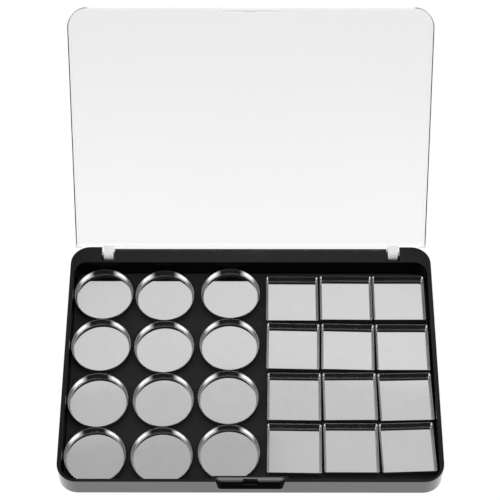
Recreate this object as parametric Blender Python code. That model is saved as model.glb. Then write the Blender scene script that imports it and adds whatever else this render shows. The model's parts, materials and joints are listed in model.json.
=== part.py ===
"""Magnetic paint palette: a shallow tray with a clear hinged lid and loose metal pans.

Units are metres, +Z is up and +Y runs from the latch to the hinge. The origin is the
centre of the tray's underside. The lid stands open on its stop.
"""
from math import acos, atan2, cos, pi, radians, sin

import bmesh
import bpy
from mathutils import Vector

# ---- Loose pans -------------------------------------------------------------------
ROWS = 4
COLUMNS = 3
ROUND_DIAMETER = 0.0259
SQUARE_SIDE = 0.0229
SQUARE_CORNER = 0.0010
PAN_HEIGHT = 0.0034
PAN_WALL = 0.00030
PAN_FLOOR = 0.00025
PAN_DRAFT = 0.00025          # each wall leans in by this much from rim to floor
PAN_FLOOR_RADIUS = 0.00045   # inside radius where the wall meets the floor
ROUND_SEGMENTS = 32

# ---- Room left round the pans ------------------------------------------------------
PAN_GAP = 0.00019            # least gap between neighbours and to the tray's walls
LEFT_PLAY = 0.00025
ROUND_COLUMN_GAP = 0.0020
BLOCK_GAP = 0.0031           # between the round pans and the square ones
SQUARE_COLUMN_GAP = 0.00085
SQUARE_ROW_GAP = 0.0017
RIGHT_PLAY = 0.00075
FRONT_ROOM = 0.0050          # from the front wall to the first row of square pans
REAR_ROOM = 0.0010           # least room behind the last row of square pans

# ---- Tray --------------------------------------------------------------------------
TRAY_HEIGHT = 0.0106
TRAY_FLOOR = 0.0012
SIDE_WALL = 0.0019
FRONT_WALL = 0.00135
REAR_WALL = 0.0082
TRAY_CORNER = 0.0085
POCKET_CORNER = 0.0055
POCKET_FLOOR_RADIUS = 0.0004
TOP_EDGE = 0.0003
BOTTOM_EDGE = 0.0004
REAR_ROUND = 0.0022          # round along the rear edge, between the hinge slots

# ---- Magnetic sheet ----------------------------------------------------------------
SHEET_THICKNESS = 0.0006
SHEET_MARGIN = 0.0006
SHEET_CORNER = 0.0040
SEAT_GAP = 0.0003

# ---- Hinge -------------------------------------------------------------------------
OPEN_ANGLE = radians(124.5)
AXIS_FROM_REAR = 0.0029
AXIS_BELOW_RIM = 0.0018
KNUCKLE_RADIUS = 0.0027
KNUCKLE_CLEARANCE = 0.0003
SLOT_CENTRE = 0.0635
SLOT_WIDTH = 0.0057
SLOT_FRONT_WALL = 0.0008     # wall left between a slot and the tray's inside
SLOT_CORNER = 0.0010
SILL_BELOW_AXIS = 0.0026     # the lugs come down on this sill when the lid is open
LUG_WIDTH = 0.0043
LUG_INNER_GAP = 0.0005
STUB_RADIUS = 0.0009
STUB_ENGAGEMENT = 0.0008
STUB_CHAMFER = 0.0002
RUNNING_CLEARANCE = 0.0001
STUB_SEGMENTS = 20

# ---- Lid ---------------------------------------------------------------------------
LID_WIDTH = 0.1564
LID_FRONT_INSET = 0.0009
LID_REAR_SETBACK = 0.0021    # from the hinge axis to the lid's rear edge
LID_HEIGHT = 0.0030
LID_PLATE = 0.0016
LID_CORNER = 0.0085
LID_REAR_CORNER = 0.0007
LEAST_CORNER = 0.0003
LID_SKIRT = 0.0016
LID_ROUND = 0.0010           # round along the lid's outer edge
LID_FOOT_EDGE = 0.0001
RECESS_EDGE = 0.0003
RELIEF_SETBACK = 0.0030      # outboard of the lugs the lid's rear edge clears the tray's
RELIEF_END = 0.0028          # the relief stops this far inboard of the lid's side
PARTING_GAP = 0.0003
LUG_REACH = 0.0013           # how far each lug runs in under the lid
LUG_ROOT_DEPTH = 0.0003      # the lug's rear flank starts this far under the lid's top

# ---- Latch -------------------------------------------------------------------------
NOTCH_HALF_WIDTH = 0.0145
NOTCH_TAPER = 0.0011         # each end leans in by this much toward the bottom
NOTCH_FOOT = 0.0038          # height of the notch's sill at the front face
NOTCH_FOOT_RADIUS = 0.0014
RECESS_DEPTH = 0.0020
RECESS_HALF_WIDTH = 0.0140
RECESS_FOOT = 0.0064
RECESS_FOOT_RADIUS = 0.0032
LATCH_BOSS = 0.0014          # the wall thickens inward by this much behind the notch
LATCH_BOSS_HALF_WIDTH = 0.0153
CATCH_HALF_WIDTH = 0.0030
CATCH_BOTTOM = 0.0062
CATCH_TOP = 0.0093
CATCH_LIP = 0.0009           # the groove under the catch runs this far down
CATCH_LIP_MARGIN = 0.0005
TAB_HALF_WIDTH = 0.0121
TAB_GAP = 0.0003
TAB_FOOT = 0.0069
TAB_FOOT_RADIUS = 0.0030
HOOK_HALF_WIDTH = 0.0026
HOOK_BITE = 0.0003           # how far the hook reaches in under the catch
HOOK_BOTTOM = 0.0073
HOOK_TOP = 0.0089

CORNER_SEGMENTS = 8
EDGE_SEGMENTS = 2
LID_ROUND_SEGMENTS = 4
SMALL_ARC_SEGMENTS = 4
KNUCKLE_SEGMENTS = 14
PAN_CORNER_SEGMENTS = 4
CUT_OVERSHOOT = 0.002

# How each pan was set down: the play in front of it in its own column, and its sway to
# the right, rows counted from the front.
ROUND_PLAY = (
    (0.0000, 0.0000, 0.0010, 0.0000),
    (0.0000, 0.0002, 0.0000, 0.0001),
    (0.0000, 0.0000, 0.0000, 0.0000),
)
ROUND_SWAY = (
    (0.0000, 0.0000, 0.0000, 0.0000),
    (0.0000, -0.0001, -0.0005, -0.0009),
    (0.0001, -0.0004, -0.0001, 0.0002),
)
SQUARE_PLAY = (
    (0.0000, -0.0001, 0.0001, -0.0002),
    (0.0002, 0.0000, -0.0002, 0.0002),
    (0.0005, -0.0001, -0.0004, 0.0002),
)
SQUARE_SWAY = (
    (0.0000, 0.0002, 0.0000, -0.0001),
    (0.0000, 0.0002, 0.0000, -0.0001),
    (-0.0001, 0.0002, 0.0000, -0.0005),
)
SQUARE_TURN_DEGREES = (
    (-0.8, -0.7, -1.3, -0.3),
    (-0.1, 0.4, -1.4, -0.4),
    (2.0, 1.4, -0.1, 0.1),
)

# ---- Sizes that follow from the ones above ------------------------------------------
ROUND_RADIUS = ROUND_DIAMETER / 2
ROUND_BLOCK = COLUMNS * ROUND_DIAMETER + (COLUMNS - 1) * ROUND_COLUMN_GAP
SQUARE_BLOCK = COLUMNS * SQUARE_SIDE + (COLUMNS - 1) * SQUARE_COLUMN_GAP
INSIDE_WIDTH = LEFT_PLAY + ROUND_BLOCK + BLOCK_GAP + SQUARE_BLOCK + RIGHT_PLAY
ROUND_DEPTH = LATCH_BOSS + ROWS * ROUND_DIAMETER + (ROWS + 1) * PAN_GAP
SQUARE_DEPTH = FRONT_ROOM + ROWS * SQUARE_SIDE + (ROWS - 1) * SQUARE_ROW_GAP + REAR_ROOM
INSIDE_DEPTH = max(ROUND_DEPTH, SQUARE_DEPTH)
TRAY_WIDTH = INSIDE_WIDTH + 2 * SIDE_WALL
TRAY_DEPTH = FRONT_WALL + INSIDE_DEPTH + REAR_WALL
FRONT = -TRAY_DEPTH / 2
REAR = TRAY_DEPTH / 2
INSIDE_LEFT = -INSIDE_WIDTH / 2
INSIDE_FRONT = FRONT + FRONT_WALL
INSIDE_REAR = REAR - REAR_WALL
SHEET_BOTTOM = TRAY_FLOOR + SEAT_GAP
SHEET_TOP = SHEET_BOTTOM + SHEET_THICKNESS
PAN_BOTTOM = SHEET_TOP + SEAT_GAP
AXIS_Y = REAR - AXIS_FROM_REAR
AXIS_Z = TRAY_HEIGHT - AXIS_BELOW_RIM
LID_BOTTOM = AXIS_BELOW_RIM + PARTING_GAP          # above the axis, lid closed
LID_TOP = LID_BOTTOM + LID_HEIGHT
LID_FRONT = FRONT + LID_FRONT_INSET - AXIS_Y       # from the axis, lid closed


def clear_scene():
    for item in list(bpy.data.objects):
        bpy.data.objects.remove(item, do_unlink=True)


def make_material(name, colour, roughness, metallic=0.0, transmission=0.0):
    made = bpy.data.materials.new(name)
    made.use_nodes = True
    shader = made.node_tree.nodes["Principled BSDF"]
    shader.inputs["Base Color"].default_value = (*colour, 1.0)
    shader.inputs["Roughness"].default_value = roughness
    shader.inputs["Metallic"].default_value = metallic
    shader.inputs["Transmission Weight"].default_value = transmission
    return made


def arc(centre, radius, start, end, segments):
    """Points on an arc, both ends included, in the plane of the profile."""
    points = []
    for step in range(segments + 1):
        angle = start + (end - start) * step / segments
        points.append((centre[0] + radius * cos(angle), centre[1] + radius * sin(angle)))
    return points


def circle(radius, segments):
    return arc((0.0, 0.0), radius, 0.0, 2 * pi, segments)[:-1]


def rounded_rectangle(width, depth, radius, segments, rear_radius=None):
    """Outline about the origin, anticlockwise from the right-hand side's rear corner."""
    points = []
    for quarter, (side, end) in enumerate(((1, 1), (-1, 1), (-1, -1), (1, -1))):
        corner = rear_radius if rear_radius and end > 0 else radius
        centre = (side * (width / 2 - corner), end * (depth / 2 - corner))
        start = quarter * pi / 2
        points += arc(centre, corner, start, start + pi / 2, segments)
    return points


def loft(rings):
    """A closed body through matching rings of points, from the first to the last."""
    body = bmesh.new()
    loops = [[body.verts.new(point) for point in ring] for ring in rings]
    for lower, upper in zip(loops, loops[1:]):
        for here in range(len(lower)):
            following = (here + 1) % len(lower)
            body.faces.new((lower[here], lower[following], upper[following], upper[here]))
    body.faces.new(reversed(loops[0]))
    body.faces.new(loops[-1])
    bmesh.ops.recalc_face_normals(body, faces=body.faces)
    return body


def stack(outline_at, profile, centre=(0.0, 0.0)):
    """Rings in level planes; the profile gives each ring's inset and height."""
    return [
        [(x + centre[0], y + centre[1], height) for x, y in outline_at(inset)]
        for inset, height in profile
    ]


def prism_along_x(profile, start, end):
    """A body whose section in the Y-Z plane is the profile."""
    return loft([[(x, y, z) for y, z in profile] for x in (start, end)])


def add_object(name, body, parent=None, material=None, location=(0.0, 0.0, 0.0)):
    mesh = bpy.data.meshes.new(name)
    body.to_mesh(mesh)
    body.free()
    made = bpy.data.objects.new(name, mesh)
    bpy.context.collection.objects.link(made)
    made.location = location
    made.parent = parent
    if material:
        mesh.materials.append(material)
        mesh.shade_smooth()
        mesh.set_sharp_from_angle(angle=radians(35))
    return made


def combine(target, name, body, operation):
    """Adds the body to the target, or takes it away, as a Boolean modifier."""
    tool = add_object(name, body, parent=target)
    tool.hide_render = True
    tool.display_type = "WIRE"
    step = target.modifiers.new(name, "BOOLEAN")
    step.operation = operation
    step.solver = "EXACT"
    step.object = tool


# ---- Tray --------------------------------------------------------------------------
def tray_body():
    def outline(inset):
        return rounded_rectangle(
            TRAY_WIDTH - 2 * inset, TRAY_DEPTH - 2 * inset, TRAY_CORNER - inset, CORNER_SEGMENTS)

    profile = arc((BOTTOM_EDGE, BOTTOM_EDGE), BOTTOM_EDGE, -pi / 2, -pi, EDGE_SEGMENTS)
    profile += arc((TOP_EDGE, TRAY_HEIGHT - TOP_EDGE), TOP_EDGE, pi, pi / 2, EDGE_SEGMENTS)
    return loft(stack(outline, profile))


def tray_pocket():
    centre = (0.0, (INSIDE_FRONT + INSIDE_REAR) / 2)

    def outline(inset):
        return rounded_rectangle(
            INSIDE_WIDTH - 2 * inset, INSIDE_DEPTH - 2 * inset,
            POCKET_CORNER - inset, CORNER_SEGMENTS)

    radius = POCKET_FLOOR_RADIUS
    profile = arc((radius, TRAY_FLOOR + radius), radius, -pi / 2, -pi, EDGE_SEGMENTS)
    profile.append((0.0, TRAY_HEIGHT + CUT_OVERSHOOT))
    return loft(stack(outline, profile, centre))


def latch_boss():
    """The local thickening of the front wall that the catch is cut into."""
    inner = INSIDE_FRONT + LATCH_BOSS
    half = LATCH_BOSS_HALF_WIDTH
    outline = [
        (-half - LATCH_BOSS / 2, INSIDE_FRONT - FRONT_WALL / 2),
        (half + LATCH_BOSS / 2, INSIDE_FRONT - FRONT_WALL / 2),
        (half + LATCH_BOSS / 2, INSIDE_FRONT),
        (half, inner),
        (-half, inner),
        (-half - LATCH_BOSS / 2, INSIDE_FRONT),
    ]
    heights = (TRAY_FLOOR / 2, TRAY_HEIGHT - TOP_EDGE / 3)
    return loft([[(x, y, z) for x, y in outline] for z in heights])


def rear_edge_cut():
    """Takes the corner off the rear edge between the slots, leaving a round."""
    centre = (REAR - REAR_ROUND, TRAY_HEIGHT - REAR_ROUND)
    profile = arc(centre, REAR_ROUND, 0.0, pi / 2, CORNER_SEGMENTS)
    profile.append((centre[0], TRAY_HEIGHT + CUT_OVERSHOOT))
    profile.append((REAR + CUT_OVERSHOOT, TRAY_HEIGHT + CUT_OVERSHOOT))
    profile.append((REAR + CUT_OVERSHOOT, centre[1]))
    half = SLOT_CENTRE - SLOT_WIDTH / 4
    return prism_along_x(profile, -half, half)


def slot_profile():
    """A hinge slot seen from the side: floor, trough round the knuckle, and rear sill."""
    trough = KNUCKLE_RADIUS + KNUCKLE_CLEARANCE
    front = INSIDE_REAR + SLOT_FRONT_WALL
    floor = AXIS_Z - trough
    sill_angle = atan2(-SILL_BELOW_AXIS, (trough**2 - SILL_BELOW_AXIS**2) ** 0.5)
    profile = [(REAR + CUT_OVERSHOOT, AXIS_Z - SILL_BELOW_AXIS)]
    profile += arc((AXIS_Y, AXIS_Z), trough, sill_angle, -pi / 2, SMALL_ARC_SEGMENTS)
    corner = (front + SLOT_CORNER, floor + SLOT_CORNER)
    profile += arc(corner, SLOT_CORNER, -pi / 2, -pi, SMALL_ARC_SEGMENTS)
    profile.append((front, TRAY_HEIGHT + CUT_OVERSHOOT))
    profile.append((REAR + CUT_OVERSHOOT, TRAY_HEIGHT + CUT_OVERSHOOT))
    return profile


def hinge_slot(side):
    half = SLOT_WIDTH / 2
    return prism_along_x(slot_profile(), side * SLOT_CENTRE - half, side * SLOT_CENTRE + half)


def pivot_bore(side):
    """The blind hole in a slot's outer wall that the lid's stub turns in."""
    wall = SLOT_CENTRE + SLOT_WIDTH / 2
    radius = STUB_RADIUS + RUNNING_CLEARANCE
    profile = [(AXIS_Y + y, AXIS_Z + z) for y, z in circle(radius, STUB_SEGMENTS)]
    depth = STUB_ENGAGEMENT + PARTING_GAP
    return prism_along_x(profile, side * (wall - PARTING_GAP), side * (wall + depth))


def notch_outline(half_width, taper, foot, foot_radius, top):
    """A tapering U in the X-Z plane, with round lower corners."""
    lower = half_width - taper
    centre_x = lower - foot_radius
    centre_z = foot + foot_radius
    left = arc((-centre_x, centre_z), foot_radius, pi, 3 * pi / 2, SMALL_ARC_SEGMENTS)
    right = arc((centre_x, centre_z), foot_radius, 3 * pi / 2, 2 * pi, SMALL_ARC_SEGMENTS)
    return [(-half_width, top)] + left + right + [(half_width, top)]


def latch_notch():
    top = TRAY_HEIGHT + CUT_OVERSHOOT
    front = notch_outline(NOTCH_HALF_WIDTH, NOTCH_TAPER, NOTCH_FOOT, NOTCH_FOOT_RADIUS, top)
    back = notch_outline(RECESS_HALF_WIDTH, 0.0, RECESS_FOOT, RECESS_FOOT_RADIUS, top)
    places = ((front, FRONT - CUT_OVERSHOOT), (front, FRONT), (back, FRONT + RECESS_DEPTH))
    body = loft([[(x, y, z) for x, z in outline] for outline, y in places])
    bmesh.ops.triangulate(body, faces=body.faces)
    return body


def block(low, high):
    outline = ((low[0], low[1]), (high[0], low[1]), (high[0], high[1]), (low[0], high[1]))
    return loft([[(x, y, z) for x, y in outline] for z in (low[2], high[2])])


def catch_window():
    """The window in the recessed wall that the lid's hook springs into."""
    return block(
        (-CATCH_HALF_WIDTH, FRONT + RECESS_DEPTH - PARTING_GAP, CATCH_BOTTOM),
        (CATCH_HALF_WIDTH, INSIDE_FRONT + LATCH_BOSS + CUT_OVERSHOOT, CATCH_TOP))


def catch_groove():
    """The groove below the window, where the hook drops on its way in."""
    half = CATCH_HALF_WIDTH + CATCH_LIP_MARGIN
    return block(
        (-half, FRONT - CUT_OVERSHOOT, CATCH_BOTTOM - CATCH_LIP),
        (half, FRONT + RECESS_DEPTH, RECESS_FOOT + CATCH_LIP))


def build_tray(material):
    tray = add_object("base_tray", tray_body(), material=material)
    combine(tray, "cut_pocket", tray_pocket(), "DIFFERENCE")
    combine(tray, "add_latch_boss", latch_boss(), "UNION")
    combine(tray, "cut_rear_edge", rear_edge_cut(), "DIFFERENCE")
    for side, word in ((-1, "left"), (1, "right")):
        combine(tray, f"cut_slot_{word}", hinge_slot(side), "DIFFERENCE")
        combine(tray, f"cut_bore_{word}", pivot_bore(side), "DIFFERENCE")
    combine(tray, "cut_notch", latch_notch(), "DIFFERENCE")
    combine(tray, "cut_catch_groove", catch_groove(), "DIFFERENCE")
    combine(tray, "cut_catch", catch_window(), "DIFFERENCE")


# ---- Magnetic sheet ----------------------------------------------------------------
def build_sheet(material):
    front = INSIDE_FRONT + LATCH_BOSS + SEAT_GAP
    rear = INSIDE_REAR - SHEET_MARGIN
    outline = rounded_rectangle(
        INSIDE_WIDTH - 2 * SHEET_MARGIN, rear - front, SHEET_CORNER, CORNER_SEGMENTS)
    middle = (front + rear) / 2
    body = loft([[(x, y, z) for x, y in outline] for z in (0.0, SHEET_THICKNESS)])
    add_object("magnet_sheet", body, material=material, location=(0.0, middle, SHEET_BOTTOM))


# ---- Lid: drawn closed, about its hinge axis ---------------------------------------
def lid_outline(inset):
    depth = -LID_REAR_SETBACK - LID_FRONT
    rear_radius = max(LID_REAR_CORNER - inset, LEAST_CORNER)
    return rounded_rectangle(
        LID_WIDTH - 2 * inset, depth - 2 * inset, LID_CORNER - inset, CORNER_SEGMENTS,
        rear_radius)


def lid_plate():
    edge = LID_FOOT_EDGE
    profile = arc((edge, LID_BOTTOM + edge), edge, -pi / 2, -pi, 1)
    profile += arc(
        (LID_ROUND, LID_TOP - LID_ROUND), LID_ROUND, pi, pi / 2, LID_ROUND_SEGMENTS)
    centre = (0.0, (LID_FRONT - LID_REAR_SETBACK) / 2)
    return loft(stack(lid_outline, profile, centre))


def lid_recess():
    """The shallow hollow under the plate, which leaves the skirt round its edge."""
    ceiling = LID_TOP - LID_PLATE
    corner = (LID_SKIRT + RECESS_EDGE, ceiling - RECESS_EDGE)
    profile = [(LID_SKIRT, LID_BOTTOM - CUT_OVERSHOOT)]
    profile += arc(corner, RECESS_EDGE, pi, pi / 2, EDGE_SEGMENTS)
    centre = (0.0, (LID_FRONT - LID_REAR_SETBACK) / 2)
    return loft(stack(lid_outline, profile, centre))


def lid_relief(side):
    """Sets the rear edge back outboard of a lug, clear of the tray's square rear edge."""
    inner = SLOT_CENTRE + SLOT_WIDTH / 2 - PARTING_GAP
    outer = LID_WIDTH / 2 - RELIEF_END
    low = (min(side * inner, side * outer), -RELIEF_SETBACK, LID_BOTTOM - CUT_OVERSHOOT)
    high = (max(side * inner, side * outer), CUT_OVERSHOOT, LID_TOP + CUT_OVERSHOOT)
    return block(low, high)


def tangent_angle(point, radius, turn):
    """Where a line from the point touches the circle about the axis."""
    distance = (point[0] ** 2 + point[1] ** 2) ** 0.5
    return atan2(point[1], point[0]) + turn * acos(radius / distance)


def hinge_lug(side):
    """A knuckle round the axis, with flat flanks running up to the lid's rear edge."""
    front_root = (-LID_REAR_SETBACK - LUG_REACH, LID_BOTTOM)
    rear_root = (-LID_REAR_SETBACK - LID_ROUND, LID_TOP - LUG_ROOT_DEPTH)
    start = tangent_angle(front_root, KNUCKLE_RADIUS, 1)
    end = tangent_angle(rear_root, KNUCKLE_RADIUS, -1) + 2 * pi
    profile = arc((0.0, 0.0), KNUCKLE_RADIUS, start, end, KNUCKLE_SEGMENTS)
    profile += [rear_root, (front_root[0], rear_root[1]), front_root]
    inner = SLOT_CENTRE - SLOT_WIDTH / 2 + LUG_INNER_GAP
    return prism_along_x(profile, side * inner, side * (inner + LUG_WIDTH))


def hinge_stub(side):
    """The pivot moulded on a lug's outer face, chamfered to spring into its hole."""
    root = SLOT_CENTRE - SLOT_WIDTH / 2 + LUG_WIDTH
    tip = SLOT_CENTRE + SLOT_WIDTH / 2 + STUB_ENGAGEMENT
    places = (
        (STUB_RADIUS, root),
        (STUB_RADIUS, tip - STUB_CHAMFER),
        (STUB_RADIUS - STUB_CHAMFER, tip),
    )
    return loft([[(side * x, y, z) for y, z in circle(radius, STUB_SEGMENTS)]
                 for radius, x in places])


def latch_tab():
    top = LID_TOP - LID_ROUND - PARTING_GAP
    foot = TAB_FOOT - AXIS_Z
    outline = notch_outline(TAB_HALF_WIDTH, 0.0, foot, TAB_FOOT_RADIUS, top)
    back = FRONT + RECESS_DEPTH - TAB_GAP - AXIS_Y
    return loft([[(x, y, z) for x, z in outline] for y in (LID_FRONT, back)])


def latch_hook():
    """The bump behind the tab, sloped above and below so that it rides over the catch."""
    back = FRONT + RECESS_DEPTH - TAB_GAP - AXIS_Y
    tip = FRONT + RECESS_DEPTH + HOOK_BITE - AXIS_Y
    low = HOOK_BOTTOM - AXIS_Z
    high = HOOK_TOP - AXIS_Z
    slope = tip - back
    profile = (
        (back - PARTING_GAP, low), (back, low), (tip, low + slope),
        (tip, high - slope / 2), (back, high), (back - PARTING_GAP, high),
    )
    return prism_along_x(profile, -HOOK_HALF_WIDTH, HOOK_HALF_WIDTH)


def build_lid(material):
    lid = add_object("clear_lid", lid_plate(), material=material, location=(0.0, AXIS_Y, AXIS_Z))
    combine(lid, "cut_lid_recess", lid_recess(), "DIFFERENCE")
    for side, word in ((-1, "left"), (1, "right")):
        combine(lid, f"cut_relief_{word}", lid_relief(side), "DIFFERENCE")
        combine(lid, f"add_lug_{word}", hinge_lug(side), "UNION")
        combine(lid, f"add_stub_{word}", hinge_stub(side), "UNION")
    combine(lid, "add_tab", latch_tab(), "UNION")
    combine(lid, "add_hook", latch_hook(), "UNION")
    lid.rotation_euler.x = -OPEN_ANGLE


# ---- Pans --------------------------------------------------------------------------
def pan_profile():
    """Inset and height up the outside of a pan, over its rim and down the inside."""
    outer_radius = PAN_FLOOR_RADIUS + PAN_WALL
    inner_foot = PAN_DRAFT + PAN_WALL
    knee = cos(pi / 4)
    return (
        (PAN_DRAFT + outer_radius, 0.0),
        (PAN_DRAFT + outer_radius * (1 - knee), outer_radius * (1 - knee)),
        (PAN_DRAFT, outer_radius),
        (0.0, PAN_HEIGHT),
        (PAN_WALL, PAN_HEIGHT),
        (inner_foot, PAN_FLOOR + PAN_FLOOR_RADIUS),
        (inner_foot + PAN_FLOOR_RADIUS * (1 - knee), PAN_FLOOR + PAN_FLOOR_RADIUS * (1 - knee)),
        (inner_foot + PAN_FLOOR_RADIUS, PAN_FLOOR),
    )


def round_outline(inset):
    return circle(ROUND_RADIUS - inset, ROUND_SEGMENTS)


def square_outline(inset):
    corner = max(SQUARE_CORNER - inset, PAN_WALL)
    side = SQUARE_SIDE - 2 * inset
    return rounded_rectangle(side, side, corner, PAN_CORNER_SEGMENTS)


def build_round_pans(material):
    for column in range(COLUMNS):
        x = INSIDE_LEFT + LEFT_PLAY + ROUND_RADIUS + column * (ROUND_DIAMETER + ROUND_COLUMN_GAP)
        behind_latch = column == COLUMNS - 1
        y = INSIDE_FRONT + (LATCH_BOSS if behind_latch else 0.0) - ROUND_RADIUS
        for row in range(ROWS):
            y += ROUND_DIAMETER + PAN_GAP + ROUND_PLAY[column][row]
            place = (x + ROUND_SWAY[column][row], y, PAN_BOTTOM)
            name = f"round_pan_{ROWS - row}{column + 1}"
            add_object(name, loft(stack(round_outline, pan_profile())), None, material, place)


def build_square_pans(material):
    left = INSIDE_LEFT + LEFT_PLAY + ROUND_BLOCK + BLOCK_GAP + SQUARE_SIDE / 2
    front = INSIDE_FRONT + FRONT_ROOM + SQUARE_SIDE / 2
    for column in range(COLUMNS):
        for row in range(ROWS):
            x = left + column * (SQUARE_SIDE + SQUARE_COLUMN_GAP) + SQUARE_SWAY[column][row]
            y = front + row * (SQUARE_SIDE + SQUARE_ROW_GAP) + SQUARE_PLAY[column][row]
            name = f"square_pan_{ROWS - row}{column + 1}"
            body = loft(stack(square_outline, pan_profile()))
            pan = add_object(name, body, None, material, (x, y, PAN_BOTTOM))
            pan.rotation_euler.z = radians(SQUARE_TURN_DEGREES[column][row])


def main():
    clear_scene()
    build_tray(make_material("black_plastic", (0.012, 0.012, 0.013), 0.22))
    build_sheet(make_material("magnet_rubber", (0.018, 0.018, 0.019), 0.62))
    build_lid(make_material("clear_plastic", (0.97, 0.98, 0.98), 0.05, transmission=1.0))
    pan_metal = make_material("tinned_steel", (0.72, 0.73, 0.74), 0.12, metallic=1.0)
    build_round_pans(pan_metal)
    build_square_pans(pan_metal)
    bpy.context.view_layer.update()


main()
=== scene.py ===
"""Magnetic paint palette, dressed: finer pans, moulded plastics, studio light and camera.

Sizes are in metres. An angle that isn't in radians() is in degrees.
"""
import json

from math import cos, pi, radians, sin

import bmesh
import bpy
from mathutils import Matrix, Vector


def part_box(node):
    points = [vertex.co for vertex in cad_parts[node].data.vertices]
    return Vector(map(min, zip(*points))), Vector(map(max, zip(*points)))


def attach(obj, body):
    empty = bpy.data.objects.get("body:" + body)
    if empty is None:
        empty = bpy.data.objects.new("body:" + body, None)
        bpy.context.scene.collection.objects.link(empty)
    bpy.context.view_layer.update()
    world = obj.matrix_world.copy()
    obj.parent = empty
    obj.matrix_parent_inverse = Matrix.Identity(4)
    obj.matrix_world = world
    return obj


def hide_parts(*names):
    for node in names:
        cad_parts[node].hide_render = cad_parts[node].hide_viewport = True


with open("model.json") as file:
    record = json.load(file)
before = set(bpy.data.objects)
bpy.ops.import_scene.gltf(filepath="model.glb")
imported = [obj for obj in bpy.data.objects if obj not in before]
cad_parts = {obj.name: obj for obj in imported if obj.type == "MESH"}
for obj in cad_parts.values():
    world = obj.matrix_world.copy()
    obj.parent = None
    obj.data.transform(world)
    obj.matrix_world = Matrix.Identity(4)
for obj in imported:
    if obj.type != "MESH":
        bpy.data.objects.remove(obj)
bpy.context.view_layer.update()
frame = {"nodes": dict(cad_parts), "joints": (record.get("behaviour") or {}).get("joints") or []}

# ---- Camera, found from the tray's and the lid's edges in the photograph ---------------
CAMERA_PLACE = (0.00103, -0.36334, 0.64509)
CAMERA_PITCH = radians(56.534)
CAMERA_YAW = radians(-0.166)
CAMERA_ROLL = radians(-0.089)
CAMERA_LENS = 122.67            # in millimetres, as its sensor is
CAMERA_SENSOR = 36.0
CAMERA_SHIFT_X = -0.00066       # as a share of the sensor
CAMERA_NEAR = 0.01
CAMERA_FAR = 20.0

# ---- Pans ------------------------------------------------------------------------------
ROWS = 4
COLUMNS = 3
SQUARE_SIDE = 0.0229
SQUARE_CORNER = 0.0010
CORNER_START = 0.0100           # a corner's faces are farther than this from both middle lines; they keep the bright rolled tin as a painted glint
PAN_WALL = 0.00030
PAN_FLOOR = 0.00025
PAN_DRAFT = 0.00025             # how far a wall leans in on its way down
PAN_FLOOR_RADIUS = 0.00045      # of the round between floor and wall, inside
ROUND_SEGMENTS = 128
SQUARE_CORNER_SEGMENTS = 12
FOOT_SEGMENTS = 5
LIP_SEGMENTS = 6
FILLET_SEGMENTS = 6
HOLD_SHARES = (0.04, 0.96)      # where along a straight wall its shading is held flat
SHARP_ANGLE = radians(40)
# How far each square pan is turned: a line for each column, from the front row to the hinge.
SQUARE_TURN_DEGREES = (
    (-0.8, -0.7, -1.3, -0.3),
    (-0.1, 0.4, -1.4, -0.4),
    (2.0, 1.4, -0.1, 0.1),
)
ROLLED_AND_GLINT, DRAWN_AND_SHADED = range(2)        # a pan's materials: rolled tin, which at the square corners is a painted glint, and drawn tin, whose darker tone is painted shade

# ---- Tray and lid ----------------------------------------------------------------------
TRAY_BEVEL = 0.00018
LID_BEVEL = 0.00008
BEVEL_SEGMENTS = 2
BEVEL_ANGLE = radians(32)       # an edge that turns more than this is broken
FLAT_ANGLE = radians(0.5)       # faces that turn less than this are joined into one
JOIN_DISTANCE = 1e-6
SQUARE_MILLIMETRE = 1e-6

SATIN, POLISHED, LATCH_SHADE = range(3)    # the tray's materials; the third reflects little, which paints shade round the latch
ALONG = 0.5                     # a face runs along an axis if its normal has less of it
POLISHED_DEPTH = 0.0026         # how far in from the tray's sides its polish reaches
LATCH_HALF_WIDTH = 0.0155       # the latch notch's side walls are this near the middle
LATCH_LEAN = 0.3                # and their normals lean sideways by more than this
CATCH_HALF_WIDTH = 0.0034       # the catch window is this near the middle,
CATCH_DEPTH = 0.0050            # this near the tray's front and its top,
RIM_DEPTH = 0.0004              # and at least this far under its top

CLEAR, EDGE, FROSTED_LIT = range(3)       # the lid's materials: clear; a paler, barely refracting copy, painted light along the rear edge and the tab; and a pale frosted copy, whose tone paints the lugs light
REAR_EDGE = 0.0042              # how far in from the hinge axis the lid's rear edge reaches
LUG_SPAN = (0.0604, 0.0665)     # across the tray, from a lug's inner flank to its pivot's tip
TAB_DEPTH = 0.0030              # from the tip of the latch tab to the back of its hook
TAB_HALF_WIDTH = 0.0125

# ---- Surfaces --------------------------------------------------------------------------
NOISE_ROUGHNESS = 0.55
NOISE_SPAN = (0.3, 0.7)         # the values that a soft noise keeps within
GRAIN_SPAN = (0.4, 0.7)         # the upper part of a fine noise, which dulls the gloss

# ---- Light -----------------------------------------------------------------------------
# Elevations are counted up from the horizon, and turns from straight behind the object.
# The soft box stands behind it. Its radiance by elevation has a step wherever one row of
# pans ends and the next begins.
SOFT_BOX = ((0.0, 0.0), (52.0, 0.0), (54.0, 0.35), (56.2, 0.35), (57.2, 0.82), (60.6, 0.82),
            (60.7, 0.68), (62.4, 0.68), (62.6, 0.54), (64.5, 0.54), (65.0, 0.10), (90.0, 0.05))
ZENITH = 90.0
SOFT_BOX_HALF_WIDTH = 0.124     # per unit of height, as its soft edge is
SOFT_BOX_EDGE = 0.012
LEAST_HEIGHT = 0.1              # the least height that a place across is divided by
SOFT_BOX_TURNS = (80.0, 100.0)  # the turns between which it ends
SIDE_TURN = 16.0                # between this turn on the left and on the right
SIDE_SHARES = (0.94, 1.06)      # its radiance goes from the first to the second of these shares
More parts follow.
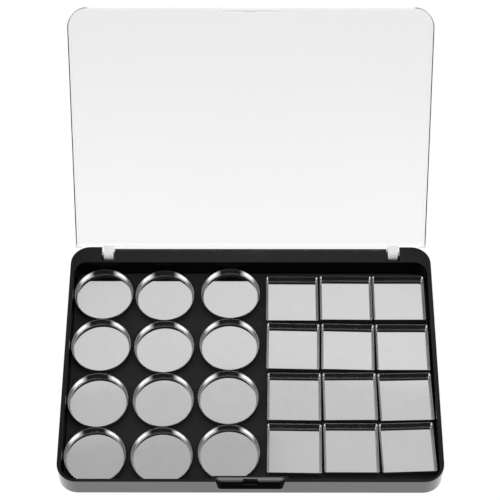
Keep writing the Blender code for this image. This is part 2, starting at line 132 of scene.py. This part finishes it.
# A panel: the elevations where it begins, is full, is full still and ends, the same for its
# turns, and its radiance. Turns are alike on both sides, except for the soft box's corner,
# which is on the right only.
BOX_CORNER = ((62.4, 62.6, 64.5, 65.0), (0.0, 3.0, 15.0, 17.0), 0.13)
PANELS = (
    ((4.0, 12.0, 48.0, 54.0), (-2.0, -1.0, 15.0, 24.0), 0.86),     # behind, under the soft box
    ((6.0, 12.0, 30.0, 40.0), (15.0, 26.0, 140.0, 152.0), 1.0),    # low, round both sides
    ((38.0, 48.0, 55.0, 62.0), (72.0, 102.0, 118.0, 148.0), 2.8),  # high on the flanks
    ((40.0, 46.0, 60.0, 64.0), (16.0, 22.0, 74.0, 96.0), 0.3),     # wings of the soft box
)
OVERHEAD = (74.0, 84.0, 0.03, 0.35)   # two elevations and the radiance at each
WHITE = (1.0, 1.0, 1.0, 1.0)
LAMP_WIDTH = 1.2
LAMP_HEIGHT = 1.2
LAMP_POWER = 7.0                # in watts
FLOOR_REACH = 3.0               # from its middle
FLOOR_DROP = 0.00002            # keeps it clear of the tray's underside
FLOOR_TONE = 0.8                # to matte surfaces
FLOOR_GLOW = 0.965              # to the eye, together with the shadow's tone
FLOOR_SHADOW_TONE = 0.06


# ---- Node building ---------------------------------------------------------------------
class Graph:
    """Adds shader nodes to a tree; inputs are given by name or number, as values or sockets."""

    def __init__(self, tree):
        self.tree = tree

    def add(self, kind, inputs=None, out=0, **settings):
        """A new node, of which one output comes back."""
        made = self.tree.nodes.new(kind)
        for key, value in settings.items():
            setattr(made, key, value)
        self.fill(made, inputs or {})
        return made.outputs[out]

    def fill(self, node, inputs):
        """Sets a node's inputs, and links those whose value is a socket."""
        for key, value in inputs.items():
            if isinstance(value, bpy.types.NodeSocket):
                self.tree.links.new(value, node.inputs[key])
            else:
                node.inputs[key].default_value = value

    def math(self, operation, *values):
        return self.add("ShaderNodeMath", dict(enumerate(values)), operation=operation)

    def step(self, value, low, high, result_low=0.0, result_high=1.0):
        """A smooth way from one result to the other while the value goes from low to high."""
        inputs = {"Value": value, "From Min": low, "From Max": high,
                  "To Min": result_low, "To Max": result_high}
        return self.add("ShaderNodeMapRange", inputs, interpolation_type="SMOOTHSTEP")

    def window(self, value, rise_from, rise_to, fall_from, fall_to):
        """One between the two slopes and nothing outside them."""
        inside = self.step(value, rise_from, rise_to)
        return self.math("MULTIPLY", inside, self.step(value, fall_from, fall_to, 1.0, 0.0))

    def object_place(self):
        """Coordinates that stay with the object."""
        return self.add("ShaderNodeTexCoord", out=3)

    def noise(self, place, scale, detail):
        inputs = {"Vector": place, "Scale": scale, "Detail": detail,
                  "Roughness": NOISE_ROUGHNESS}
        return self.add("ShaderNodeTexNoise", inputs)

    def tone(self, share, low, high):
        """A colour between two, each given as red, green and blue."""
        inputs = {0: share, 6: (*low, 1.0), 7: (*high, 1.0)}
        return self.add("ShaderNodeMix", inputs, out=2, data_type="RGBA")

    def bump(self, height, strength, distance):
        inputs = {"Strength": strength, "Distance": distance, "Height": height}
        return self.add("ShaderNodeBump", inputs)

    def any_ray(self, *kinds):
        """One for a ray of any of these kinds and nothing for another."""
        rays = self.add("ShaderNodeLightPath").node.outputs
        found = rays[f"Is {kinds[0]} Ray"]
        for kind in kinds[1:]:
            found = self.math("MAXIMUM", found, rays[f"Is {kind} Ray"])
        return found


def grey(tone):
    return (tone, tone, tone)


# ---- Materials -------------------------------------------------------------------------
def new_material(name):
    made = bpy.data.materials.new(name)
    made.use_nodes = True
    return made, Graph(made.node_tree), made.node_tree.nodes["Principled BSDF"]


def tin_material(name, low_tone, high_tone, roughness):
    """Bright tinned steel, whose brightness and gloss wander a little over each pan."""
    made, graph, shader = new_material(name)
    wander = graph.add("ShaderNodeObjectInfo", out=5)
    offset = graph.add("ShaderNodeCombineXYZ", {"X": wander, "Y": wander, "Z": wander})
    place = graph.add("ShaderNodeVectorMath", {0: graph.object_place(), 1: offset}, operation="ADD")
    drawn_out = graph.add("ShaderNodeMapping", {"Vector": place, "Scale": (1.0, 9.0, 1.0)})
    cloud = graph.noise(place, scale=190.0, detail=3.0)
    grain = graph.noise(drawn_out, scale=1400.0, detail=2.0)
    dust = graph.noise(place, scale=5200.0, detail=1.0)
    dullness = graph.step(cloud, *NOISE_SPAN, roughness, roughness + 0.02)
    scratches = graph.step(grain, *GRAIN_SPAN, 0.0, 0.02)
    height = graph.math("ADD", graph.math("MULTIPLY", grain, 0.4), dust)
    graph.fill(shader, {
        "Metallic": 1.0,
        "Base Color": graph.tone(graph.step(cloud, 0.35, 0.65), grey(low_tone), grey(high_tone)),
        "Roughness": graph.math("ADD", dullness, scratches),
        "Normal": graph.bump(height, strength=0.05, distance=0.00001),
    })
    return made


def plastic_material(name, ior, coat):
    """Black moulded plastic, which shines more with a higher index or a coat."""
    made, graph, shader = new_material(name)
    place = graph.object_place()
    cloud = graph.noise(place, scale=60.0, detail=4.0)
    fine = graph.noise(place, scale=2600.0, detail=2.0)
    dullness = graph.step(cloud, *NOISE_SPAN, 0.08, 0.12)
    wear = graph.step(fine, *GRAIN_SPAN, 0.0, 0.04)
    graph.fill(shader, {
        "Base Color": graph.tone(cloud, (0.0025, 0.0025, 0.0027), (0.0038, 0.0038, 0.0041)),
        "Roughness": graph.math("ADD", dullness, wear),
        "Normal": graph.bump(fine, strength=0.06, distance=0.00002),
        "IOR": ior,
        "Coat Weight": coat,
        "Coat Roughness": 0.05,
    })
    return made


def rubber_material():
    """The magnetic sheet's matte black rubber, with a fine tooth."""
    made, graph, shader = new_material("magnet_rubber")
    place = graph.object_place()
    cloud = graph.noise(place, scale=90.0, detail=4.0)
    fine = graph.noise(place, scale=3800.0, detail=3.0)
    graph.fill(shader, {
        "Base Color": graph.tone(cloud, (0.011, 0.011, 0.0114), (0.018, 0.018, 0.0185)),
        "Roughness": graph.step(fine, *NOISE_SPAN, 0.5, 0.68),
        "Specular IOR Level": 0.35,
        "Normal": graph.bump(fine, strength=0.5, distance=0.00005),
    })
    return made


def clear_material(name, shaded_front_tone, rear_tone, ior):
    """Clear plastic, with one tone at the lid's front edge and one at its hinge; a darker front
    tone is painted shade on the open lid's upper part.
    """
    made, graph, shader = new_material(name)
    place = graph.object_place()
    cloud = graph.noise(place, scale=25.0, detail=3.0)
    height = graph.add("ShaderNodeSeparateXYZ", {"Vector": place}, out=2)
    low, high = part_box("clear_lid")
    # Painted shade: the tone darkens with height, toward the open lid's front edge.
    share = graph.step(height, low.z, high.z)
    share = graph.math("ADD", share, graph.step(cloud, *NOISE_SPAN, -0.02, 0.02))
    graph.fill(shader, {
        "Base Color": graph.tone(share, grey(rear_tone), grey(shaded_front_tone)),
        "Roughness": graph.step(cloud, *NOISE_SPAN, 0.0, 0.03),
        "Transmission Weight": 1.0,
        "IOR": ior,
    })
    return made


def frosted_lit_material():
    """The same plastic where its surface scatters light, so that little is seen through it; its
    pale tone is painted light on the lugs.
    """
    made, graph, shader = new_material("frosted_lit_plastic")
    cloud = graph.noise(graph.object_place(), scale=300.0, detail=2.0)
    graph.fill(shader, {
        "Base Color": graph.tone(cloud, grey(0.92), grey(0.98)),
        "Roughness": graph.step(cloud, *NOISE_SPAN, 0.30, 0.40),
        "Transmission Weight": 0.1,
        "IOR": 1.49,
    })
    return made


def floor_material():
    """White to the eye, in gloss and through glass; a plain matte white for everything else."""
    made, graph, shader = new_material("floor_white")
    graph.fill(shader, {"Base Color": (*grey(FLOOR_TONE), 1.0), "Roughness": 0.9,
                        "Specular IOR Level": 0.0})
    shadowed = graph.add("ShaderNodeBsdfDiffuse", {"Color": (*grey(FLOOR_SHADOW_TONE), 1.0)})
    glow = graph.add("ShaderNodeEmission", {"Strength": FLOOR_GLOW})
    white = graph.add("ShaderNodeAddShader", {0: glow, 1: shadowed})
    seen = graph.any_ray("Camera", "Glossy", "Transmission")
    surface = graph.add("ShaderNodeMixShader", {0: seen, 1: shader.outputs[0], 2: white})
    graph.fill(made.node_tree.nodes["Material Output"], {"Surface": surface})
    return made


# ---- Mesh building ---------------------------------------------------------------------
def arc(centre, radius, start, end, segments):
    points = []
    for step in range(segments + 1):
        angle = start + (end - start) * step / segments
        points.append((centre[0] + radius * cos(angle), centre[1] + radius * sin(angle)))
    return points


def rounded_rectangle(width, depth, radius, segments):
    half_x = width / 2 - radius
    half_y = depth / 2 - radius
    points = []
    for quarter, (side, end) in enumerate(((1, 1), (-1, 1), (-1, -1), (1, -1))):
        start = quarter * pi / 2
        points += arc((side * half_x, end * half_y), radius, start, start + pi / 2, segments)
    return points


def loft(rings):
    """A closed body through rings of as many points each, with a flat face at both ends."""
    body = bmesh.new()
    loops = [[body.verts.new(point) for point in ring] for ring in rings]
    for lower, upper in zip(loops, loops[1:]):
        for here in range(len(lower)):
            following = (here + 1) % len(lower)
            body.faces.new((lower[here], lower[following], upper[following], upper[here]))
    body.faces.new(reversed(loops[0]))
    body.faces.new(loops[-1])
    bmesh.ops.recalc_face_normals(body, faces=body.faces)
    return body


def add_piece(name, body, material, location):
    """An object from a body, smooth but for its sharp edges and its many-sided flat faces."""
    mesh = bpy.data.meshes.new(name)
    body.to_mesh(mesh)
    body.free()
    mesh.materials.append(material)
    mesh.shade_smooth()
    mesh.set_sharp_from_angle(angle=SHARP_ANGLE)
    for face in mesh.polygons:
        if len(face.vertices) > 4:
            face.use_smooth = False
    made = bpy.data.objects.new(name, mesh)
    made.location = location
    bpy.context.collection.objects.link(made)
    return made


# ---- Pans ------------------------------------------------------------------------------
def wall_holds(start, end):
    """Points close to a straight wall's two ends, which keep its shading flat between them."""
    return [tuple(a + (b - a) * share for a, b in zip(start, end)) for share in HOLD_SHARES]


def pan_profile(height):
    """Inset and height up a pan's outside, over its rounded rim and down its inside."""
    outer = PAN_FLOOR_RADIUS + PAN_WALL
    inner_foot = PAN_DRAFT + PAN_WALL
    rim = PAN_WALL / 2
    foot = arc((PAN_DRAFT + outer, outer), outer, -pi / 2, -pi, FOOT_SEGMENTS)
    lip = arc((rim, height - rim), rim, pi, 0.0, LIP_SEGMENTS)
    centre = (inner_foot + PAN_FLOOR_RADIUS, PAN_FLOOR + PAN_FLOOR_RADIUS)
    fillet = arc(centre, PAN_FLOOR_RADIUS, pi, 3 * pi / 2, FILLET_SEGMENTS)
    return foot + wall_holds(foot[-1], lip[0]) + lip + wall_holds(lip[-1], fillet[0]) + fillet


def round_outline(radius):
    """Gives a round pan's outline at any inset."""
    return lambda inset: arc((0.0, 0.0), radius - inset, 0.0, 2 * pi, ROUND_SEGMENTS)[:-1]


def square_outline(inset):
    side = SQUARE_SIDE - 2 * inset
    corner = max(SQUARE_CORNER - inset, PAN_WALL)
    return rounded_rectangle(side, side, corner, SQUARE_CORNER_SEGMENTS)


def build_pan(name, outline, turn, materials):
    """A pan: its flat faces shine as rolled, its corners get the same bright tin as a painted
    glint, and its walls are rougher as drawn and darker as painted shade.
    """
    low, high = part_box(name)
    middle = ((low.x + high.x) / 2, (low.y + high.y) / 2, low.z)
    profile = pan_profile(high.z - low.z)
    rings = [[(x, y, height) for x, y in outline(inset)] for inset, height in profile]
    made = add_piece(f"{name}_pressed", loft(rings), materials[ROLLED_AND_GLINT], middle)
    made.data.materials.append(materials[DRAWN_AND_SHADED])
    for face in made.data.polygons:
        glint_corner = min(abs(face.center.x), abs(face.center.y)) > CORNER_START
        flat = len(face.vertices) > 4
        face.material_index = ROLLED_AND_GLINT if flat or glint_corner else DRAWN_AND_SHADED
    made.rotation_euler.z = turn
    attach(made, name)
    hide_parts(name)


def build_pans():
    """Every pan, from the left and from the front, though the names count rows from the hinge."""
    # The drawn tin's darker tone paints shade on the pans' walls.
    materials = (tin_material("tinned_steel", 0.735, 0.755, roughness=0.03),
                 tin_material("drawn_shaded_steel", 0.45, 0.51, roughness=0.07))
    for column in range(COLUMNS):
        for row in range(ROWS):
            number = f"{ROWS - row}{column + 1}"
            low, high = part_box(f"round_pan_{number}")
            outline = round_outline((high.x - low.x) / 2)
            turn = radians(SQUARE_TURN_DEGREES[column][row])
            build_pan(f"round_pan_{number}", outline, 0.0, materials)
            build_pan(f"square_pan_{number}", square_outline, turn, materials)


# ---- Tray and lid ----------------------------------------------------------------------
def bevelled_copy(node, name, body, width, materials):
    """A piece that stands for a CAD node: the same solid with every sharp edge broken."""
    mesh = frame["nodes"][node].data.copy()
    mesh.name = name
    work = bmesh.new()
    work.from_mesh(mesh)
    bmesh.ops.remove_doubles(work, verts=work.verts, dist=JOIN_DISTANCE)
    bmesh.ops.dissolve_limit(work, angle_limit=FLAT_ANGLE, verts=work.verts, edges=work.edges)
    work.to_mesh(mesh)
    work.free()
    mesh.materials.clear()
    for material in materials:
        mesh.materials.append(material)
    mesh.shade_smooth()
    made = bpy.data.objects.new(name, mesh)
    bpy.context.collection.objects.link(made)
    bevel = made.modifiers.new("edges", "BEVEL")
    bevel.width = width
    bevel.segments = BEVEL_SEGMENTS
    bevel.limit_method = "ANGLE"
    bevel.angle_limit = BEVEL_ANGLE
    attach(made, body)
    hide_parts(node)
    return made


def settle_edges(made):
    """Applies the bevel; each vertex then shades along its largest faces, so flats stay flat."""
    bevelled = made.evaluated_get(bpy.context.evaluated_depsgraph_get())
    mesh = bpy.data.meshes.new_from_object(bevelled)
    made.modifiers.clear()
    made.data = mesh
    facing = [Vector() for _ in mesh.vertices]
    for face in mesh.polygons:
        for vertex in face.vertices:
            facing[vertex] += face.normal * (face.area / SQUARE_MILLIMETRE) ** 2
    mesh.normals_split_custom_set_from_vertices([direction.normalized() for direction in facing])


def tray_finish(place, normal, low, high):
    """Which material a face of the tray has, by its middle, its normal and the tray's box."""
    from_front = place.y - low.y
    from_sides = min(place.x - low.x, high.x - place.x, from_front, high.y - place.y)
    in_latch = abs(place.x) < LATCH_HALF_WIDTH and abs(normal.x) > LATCH_LEAN
    in_catch = (abs(place.x) < CATCH_HALF_WIDTH and from_front < CATCH_DEPTH
                and RIM_DEPTH < high.z - place.z < CATCH_DEPTH and abs(normal.y) < ALONG)
    # The latch notch's side walls and the catch window get painted shade.
    if in_latch or in_catch:
        return LATCH_SHADE
    return POLISHED if from_sides < POLISHED_DEPTH and abs(normal.z) < ALONG else SATIN


def build_tray():
    """The tray: satin on top and inside, polished on its outer walls, and round the latch a copy
    that reflects little, which paints shade there.
    """
    satin = plastic_material("black_plastic", ior=1.45, coat=0.0)
    polished = plastic_material("polished_black_plastic", ior=1.6, coat=0.6)
    # A copy with a low index, so it reflects little: painted shade in the latch notch and the catch
    # window.
    latch_shade = plastic_material("latch_shade_plastic", ior=1.15, coat=0.0)
    materials = [satin, polished, latch_shade]
    tray = bevelled_copy("base_tray", "moulded_tray", "tray", TRAY_BEVEL, materials)
    low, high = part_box("base_tray")
    for face in tray.data.polygons:
        place = tray.matrix_world @ face.center
        face.material_index = tray_finish(place, face.normal, low, high)
    settle_edges(tray)


def lid_finish(place, front):
    """Which material a face of the lid has, by its middle and the front's y once shut."""
    at_rear = place.y > -REAR_EDGE
    at_tab = place.y < front + TAB_DEPTH and abs(place.x) < TAB_HALF_WIDTH
    if at_rear and LUG_SPAN[0] < abs(place.x) < LUG_SPAN[1]:
        return FROSTED_LIT
    return EDGE if at_rear or at_tab else CLEAR


def build_lid():
    """The lid: clear, with painted shade toward its front edge, painted light along its rear edge
    and at its tab where a paler copy barely refracts, and frosted at its lugs, whose pale tone is
    painted light.
    """
    clear = clear_material("clear_plastic", shaded_front_tone=0.85, rear_tone=0.96, ior=1.49)
    # A paler copy that barely refracts: painted light along the lid's rear edge and at its tab.
    edge = clear_material("clear_lit_edge", shaded_front_tone=0.97, rear_tone=0.97, ior=1.08)
    materials = [clear, edge, frosted_lit_material()]
    lid = bevelled_copy("clear_lid", "moulded_lid", "lid", LID_BEVEL, materials)
    hinge = next(joint for joint in frame["joints"] if joint["name"] == "lid_hinge")
    from_hinge = Matrix.Translation(hinge["pos_m"]).inverted()
    shutting = Matrix.Rotation(radians(-hinge["range_deg"][0]), 4, "X")
    shut = shutting @ from_hinge @ lid.matrix_world
    front = min((shut @ vertex.co).y for vertex in lid.data.vertices)
    for face in lid.data.polygons:
        face.material_index = lid_finish(shut @ face.center, front)
    settle_edges(lid)


def dress_node(name, material):
    """Gives a CAD node that stays in view its own finished material."""
    node = frame["nodes"][name]
    node.data.materials.clear()
    node.data.materials.append(material)


# ---- Studio ----------------------------------------------------------------------------
def box_height(graph, elevation):
    """The soft box's radiance at an elevation, read off SOFT_BOX."""
    curve = graph.add("ShaderNodeFloatCurve", {"Value": graph.math("DIVIDE", elevation, ZENITH)})
    points = curve.node.mapping.curves[0].points
    stops = [(height / ZENITH, radiance) for height, radiance in SOFT_BOX]
    points[0].location = stops[0]
    points[1].location = stops[-1]
    for stop in stops[1:-1]:
        points.new(*stop)
    for point in points:
        point.handle_type = "VECTOR"
    curve.node.mapping.update()
    return curve


def soft_box(graph, elevation, azimuth, across):
    """The soft box, whose width is counted across, per unit of height."""
    side = graph.math("ABSOLUTE", azimuth)
    box_end = SOFT_BOX_HALF_WIDTH + SOFT_BOX_EDGE
    shares = (graph.step(across, SOFT_BOX_HALF_WIDTH, box_end, 1.0, 0.0),
              graph.step(side, *SOFT_BOX_TURNS, 1.0, 0.0),
              graph.step(azimuth, -SIDE_TURN, SIDE_TURN, *SIDE_SHARES))
    light = box_height(graph, elevation)
    for share in shares:
        light = graph.math("MULTIPLY", light, share)
    return light


def panel_light(graph, elevation, turn, panel):
    elevations, turns, radiance = panel
    shape = graph.window(elevation, *elevations)
    shape = graph.math("MULTIPLY", shape, graph.window(turn, *turns))
    return graph.math("MULTIPLY", shape, radiance)


def build_world():
    """A light tent: soft panels at the sides and behind, dark where the camera stands."""
    world = bpy.data.worlds.new("studio")
    bpy.context.scene.world = world
    world.use_nodes = True
    graph = Graph(world.node_tree)
    direction = graph.add("ShaderNodeTexCoord")
    x, y, z = graph.add("ShaderNodeSeparateXYZ", {0: direction}).node.outputs
    elevation = graph.math("MULTIPLY", graph.math("ARCSINE", z), 180 / pi)
    azimuth = graph.math("MULTIPLY", graph.math("ARCTAN2", x, y), 180 / pi)
    side = graph.math("ABSOLUTE", azimuth)
    height = graph.math("MAXIMUM", z, LEAST_HEIGHT)
    across = graph.math("DIVIDE", graph.math("ABSOLUTE", x), height)
    lights = [graph.step(elevation, *OVERHEAD),
              panel_light(graph, elevation, azimuth, BOX_CORNER)]
    lights += [panel_light(graph, elevation, side, panel) for panel in PANELS]
    strength = soft_box(graph, elevation, azimuth, across)
    for light in lights:
        strength = graph.math("ADD", strength, light)
    seen = graph.any_ray("Camera", "Transmission")
    shown = graph.add("ShaderNodeMix", {0: seen, 2: strength, 3: 1.0}, data_type="FLOAT")
    graph.fill(world.node_tree.nodes["Background"], {"Strength": shown, "Color": WHITE})


def build_lamp():
    """A wide soft lamp overhead that lights what is matte and stays out of the gloss."""
    data = bpy.data.lights.new("overhead", "AREA")
    data.shape = "DISK"
    data.size = LAMP_WIDTH
    data.energy = LAMP_POWER
    lamp = bpy.data.objects.new("overhead", data)
    lamp.location = (0.0, 0.0, LAMP_HEIGHT)
    lamp.visible_glossy = False
    bpy.context.collection.objects.link(lamp)


def build_floor():
    body = bmesh.new()
    bmesh.ops.create_grid(body, x_segments=2, y_segments=2, size=FLOOR_REACH)
    floor = add_piece("floor", body, floor_material(), (0.0, 0.0, -FLOOR_DROP))


def build_camera():
    """The camera, which looks down by its pitch, turned by its yaw and its roll."""
    reach = cos(CAMERA_PITCH)
    forward = Vector((sin(CAMERA_YAW) * reach, cos(CAMERA_YAW) * reach, -sin(CAMERA_PITCH)))
    level = Vector((cos(CAMERA_YAW), -sin(CAMERA_YAW), 0.0))
    upward = level.cross(forward)
    right = cos(CAMERA_ROLL) * level + sin(CAMERA_ROLL) * upward
    above = cos(CAMERA_ROLL) * upward - sin(CAMERA_ROLL) * level
    turned = Matrix((right, above, -forward)).transposed().to_4x4()
    data = bpy.data.cameras.new("camera")
    data.lens = CAMERA_LENS
    data.sensor_width = CAMERA_SENSOR
    data.shift_x = CAMERA_SHIFT_X
    data.clip_start = CAMERA_NEAR
    data.clip_end = CAMERA_FAR
    camera = bpy.data.objects.new("camera", data)
    camera.matrix_world = Matrix.Translation(CAMERA_PLACE) @ turned
    bpy.context.collection.objects.link(camera)
    bpy.context.scene.camera = camera


build_camera()
build_world()
build_lamp()
build_floor()
dress_node("magnet_sheet", rubber_material())
build_tray()
build_lid()
build_pans()
bpy.context.scene.view_settings.view_transform = "Standard"
